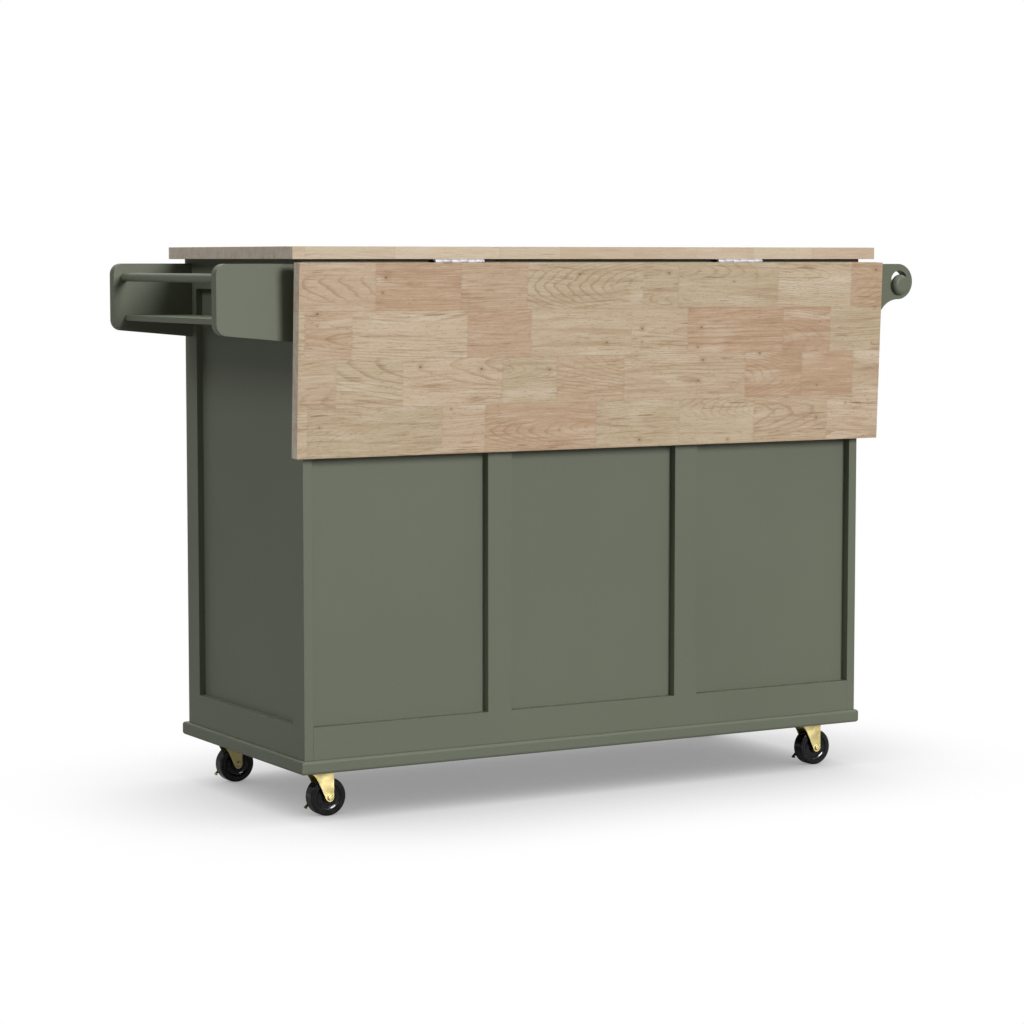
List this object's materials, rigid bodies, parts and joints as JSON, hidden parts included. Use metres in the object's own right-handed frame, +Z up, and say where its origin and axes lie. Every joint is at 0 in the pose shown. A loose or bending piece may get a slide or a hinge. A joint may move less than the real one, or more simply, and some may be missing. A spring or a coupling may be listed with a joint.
{
  "type": "drop leaf kitchen island",
  "caption": "Rolling kitchen island cabinet with doors, drawers, a hinged drop leaf, a spice rack and a paper roll holder.",
  "frame": {"origin": "on the floor, under the middle of the whole island's box, with the leaf hanging", "axes": "+Z up, the doors and drawers face -Y, the leaf hangs at +Y, the spice rack is at +X and the roll holder at -X"},
  "size_m": [1.3452, 0.521, 0.9144],
  "materials": {
    "paint": "satin sage grey-green paint",
    "block": "clear satin lacquer on finger-jointed hardwood blocks",
    "ply": "plain, unpainted board",
    "brass": "bright plated",
    "zinc": "zinc plated",
    "tyre": "gloss black",
    "bronze": "dull bronze plated"
  },
  "bodies": {
    "cabinet": {"worktop": "block", "base_board": "paint", "left_end_frame": "paint", "right_end_frame": "paint", "back_frame": "paint", "infill_panels": "paint", "face_frame": "paint", "partitions": "ply", "cleats_and_runner_blocks": "ply", "shelves": "ply", "shelf_clips": "zinc", "drawer_rails": "zinc", "door_hinge_plates": "brass", "worktop_hinge_plates": "zinc", "stay_brackets": "zinc", "spice_rack_plates": "paint", "spice_rack_rail": "paint", "spice_rack_shelf": "paint", "roll_holder_brackets": "paint", "caster_plates": "brass"},
    "left_door": {"left_door": "paint", "left_door_knob": "brass", "left_door_hinges": "brass"},
    "right_door": {"right_door": "paint", "right_door_knob": "brass", "right_door_hinges": "brass"},
    "top_drawer": {"top_drawer_front": "paint", "top_drawer_box": "ply", "top_drawer_knob": "brass", "top_drawer_slides": "zinc"},
    "middle_drawer": {"middle_drawer_front": "paint", "middle_drawer_box": "ply", "middle_drawer_knob": "brass", "middle_drawer_slides": "zinc"},
    "bottom_drawer": {"bottom_drawer_front": "paint", "bottom_drawer_box": "ply", "bottom_drawer_knob": "brass", "bottom_drawer_slides": "zinc"},
    "leaf": {"drop_leaf": "block", "leaf_hinge_plates": "zinc", "stay_catches": "zinc"},
    "left_stay": {"left_stay": "block"},
    "right_stay": {"right_stay": "block"},
    "roll_rod": {"roll_rod": "paint"},
    "front_right_swivel": {"front_right_fork": "brass", "front_right_axle": "brass"},
    "front_right_wheel": {"front_right_wheel": "tyre"},
    "front_right_brake": {"front_right_brake": "bronze"},
    "front_left_swivel": {"front_left_fork": "brass", "front_left_axle": "brass"},
    "front_left_wheel": {"front_left_wheel": "tyre"},
    "front_left_brake": {"front_left_brake": "bronze"},
    "back_right_swivel": {"back_right_fork": "brass", "back_right_axle": "brass"},
    "back_right_wheel": {"back_right_wheel": "tyre"},
    "back_right_brake": {"back_right_brake": "bronze"},
    "back_left_swivel": {"back_left_fork": "brass", "back_left_axle": "brass"},
    "back_left_wheel": {"back_left_wheel": "tyre"},
    "back_left_brake": {"back_left_brake": "bronze"}
  },
  "joints": [
    {"name": "right_door_hinge", "type": "hinge", "parent": "cabinet", "child": "right_door", "pos_m": [0.4854, -0.23776, 0.49865], "axis": [0, 0, 1], "range_deg": [0, 165]},
    {"name": "left_door_hinge", "type": "hinge", "parent": "cabinet", "child": "left_door", "pos_m": [-0.5001, -0.23776, 0.49865], "axis": [0, 0, -1], "range_deg": [0, 165]},
    {"name": "top_drawer_slide", "type": "slide", "parent": "cabinet", "child": "top_drawer", "axis": [0, -1, 0], "range_m": [0, 0.28]},
    {"name": "middle_drawer_slide", "type": "slide", "parent": "cabinet", "child": "middle_drawer", "axis": [0, -1, 0], "range_m": [0, 0.28]},
    {"name": "bottom_drawer_slide", "type": "slide", "parent": "cabinet", "child": "bottom_drawer", "axis": [0, -1, 0], "range_m": [0, 0.28]},
    {"name": "leaf_hinge", "type": "hinge", "parent": "cabinet", "child": "leaf", "pos_m": [-0.00735, 0.23674, 0.8906], "axis": [1, 0, 0], "range_deg": [0, 92.46]},
    {"name": "left_stay_pivot", "type": "hinge", "parent": "cabinet", "child": "left_stay", "pos_m": [-0.18918, 0.22554, 0.7956], "axis": [1, 0, 0], "range_deg": [0, 127.87]},
    {"name": "right_stay_pivot", "type": "hinge", "parent": "cabinet", "child": "right_stay", "pos_m": [0.17448, 0.22554, 0.7956], "axis": [1, 0, 0], "range_deg": [0, 127.87]},
    {"name": "roll_rod_slide", "type": "slide", "parent": "cabinet", "child": "roll_rod", "axis": [0, 1, 0], "range_m": [0, 0.32]},
    {"name": "front_right_swivel_turn", "type": "hinge", "parent": "cabinet", "child": "front_right_swivel", "pos_m": [0.48065, -0.18346, 0.0716], "axis": [0, 0, 1], "continuous": true},
    {"name": "front_right_wheel_roll", "type": "hinge", "parent": "front_right_swivel", "child": "front_right_wheel", "pos_m": [0.47015, -0.18346, 0.0313], "axis": [0, 1, 0], "continuous": true},
    {"name": "front_right_brake_lever", "type": "hinge", "parent": "front_right_swivel", "child": "front_right_brake", "pos_m": [0.47015, -0.20136, 0.0313], "axis": [0, -1, 0], "range_deg": [0, 20]},
    {"name": "front_left_swivel_turn", "type": "hinge", "parent": "cabinet", "child": "front_left_swivel", "pos_m": [-0.48135, -0.18346, 0.0716], "axis": [0, 0, 1], "continuous": true},
    {"name": "front_left_wheel_roll", "type": "hinge", "parent": "front_left_swivel", "child": "front_left_wheel", "pos_m": [-0.49185, -0.18346, 0.0313], "axis": [0, 1, 0], "continuous": true},
    {"name": "front_left_brake_lever", "type": "hinge", "parent": "front_left_swivel", "child": "front_left_brake", "pos_m": [-0.49185, -0.20136, 0.0313], "axis": [0, -1, 0], "range_deg": [0, 20]},
    {"name": "back_right_swivel_turn", "type": "hinge", "parent": "cabinet", "child": "back_right_swivel", "pos_m": [0.48065, 0.16954, 0.0716], "axis": [0, 0, 1], "continuous": true},
    {"name": "back_right_wheel_roll", "type": "hinge", "parent": "back_right_swivel", "child": "back_right_wheel", "pos_m": [0.47015, 0.16954, 0.0313], "axis": [0, 1, 0], "continuous": true},
    {"name": "back_right_brake_lever", "type": "hinge", "parent": "back_right_swivel", "child": "back_right_brake", "pos_m": [0.47015, 0.15164, 0.0313], "axis": [0, -1, 0], "range_deg": [0, 20]},
    {"name": "back_left_swivel_turn", "type": "hinge", "parent": "cabinet", "child": "back_left_swivel", "pos_m": [-0.48135, 0.16954, 0.0716], "axis": [0, 0, 1], "continuous": true},
    {"name": "back_left_wheel_roll", "type": "hinge", "parent": "back_left_swivel", "child": "back_left_wheel", "pos_m": [-0.49185, 0.16954, 0.0313], "axis": [0, 1, 0], "continuous": true},
    {"name": "back_left_brake_lever", "type": "hinge", "parent": "back_left_swivel", "child": "back_left_brake", "pos_m": [-0.49185, 0.15164, 0.0313], "axis": [0, -1, 0], "range_deg": [0, 20]}
  ],
  "couplings": [
    {"joint": "left_stay_pivot", "follows": "leaf_hinge", "ratio": 1.3828},
    {"joint": "right_stay_pivot", "follows": "leaf_hinge", "ratio": 1.3828}
  ]
}
